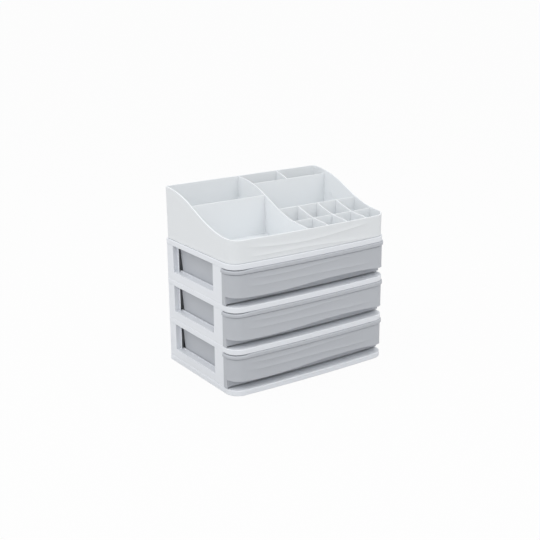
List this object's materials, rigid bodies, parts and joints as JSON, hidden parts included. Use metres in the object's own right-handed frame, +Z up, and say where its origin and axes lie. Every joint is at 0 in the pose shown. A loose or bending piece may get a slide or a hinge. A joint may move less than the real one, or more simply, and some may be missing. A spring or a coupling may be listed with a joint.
{
  "type": "makeup organizer",
  "caption": "Table-top makeup organizer: a white frame with side windows, sliding grey drawers with a wave-cut finger recess, and a divided tray with rising sides on top.",
  "frame": {"origin": "middle of the footprint at the underside of the base plate", "axes": "+X to the right as seen from the front, +Y to the back, +Z up; the drawers open along -Y"},
  "size_m": [0.3036, 0.2058, 0.295],
  "materials": {
    "frame": "satin white moulded plastic",
    "drawer": "satin light grey moulded plastic",
    "tray": "satin off-white moulded plastic"
  },
  "bodies": {
    "frame": {"base_plate": "frame", "lower_shelf": "frame", "upper_shelf": "frame", "top_plate": "frame", "lower_left_side": "frame", "lower_right_side": "frame", "middle_left_side": "frame", "middle_right_side": "frame", "upper_left_side": "frame", "upper_right_side": "frame", "lower_back_panel": "frame", "middle_back_panel": "frame", "upper_back_panel": "frame"},
    "lower_drawer": {"lower_drawer_box": "drawer", "lower_drawer_front": "drawer"},
    "middle_drawer": {"middle_drawer_box": "drawer", "middle_drawer_front": "drawer"},
    "upper_drawer": {"upper_drawer_box": "drawer", "upper_drawer_front": "drawer"},
    "tray": {"tray_shell": "tray", "long_divider": "tray", "left_cross_divider": "tray", "rear_cross_divider": "tray", "rear_short_divider": "tray", "middle_cross_divider": "tray", "grid_cross_divider": "tray", "grid_left_divider": "tray", "grid_middle_divider": "tray", "grid_right_divider": "tray"}
  },
  "joints": [
    {"name": "lower_drawer_slide", "type": "slide", "parent": "frame", "child": "lower_drawer", "axis": [0, -1, 0], "range_m": [0, 0.16]},
    {"name": "middle_drawer_slide", "type": "slide", "parent": "frame", "child": "middle_drawer", "axis": [0, -1, 0], "range_m": [0, 0.16]},
    {"name": "upper_drawer_slide", "type": "slide", "parent": "frame", "child": "upper_drawer", "axis": [0, -1, 0], "range_m": [0, 0.16]},
    {"name": "tray_lift", "type": "slide", "parent": "frame", "child": "tray", "axis": [0, 0, 1], "range_m": [0, 0.06]}
  ]
}
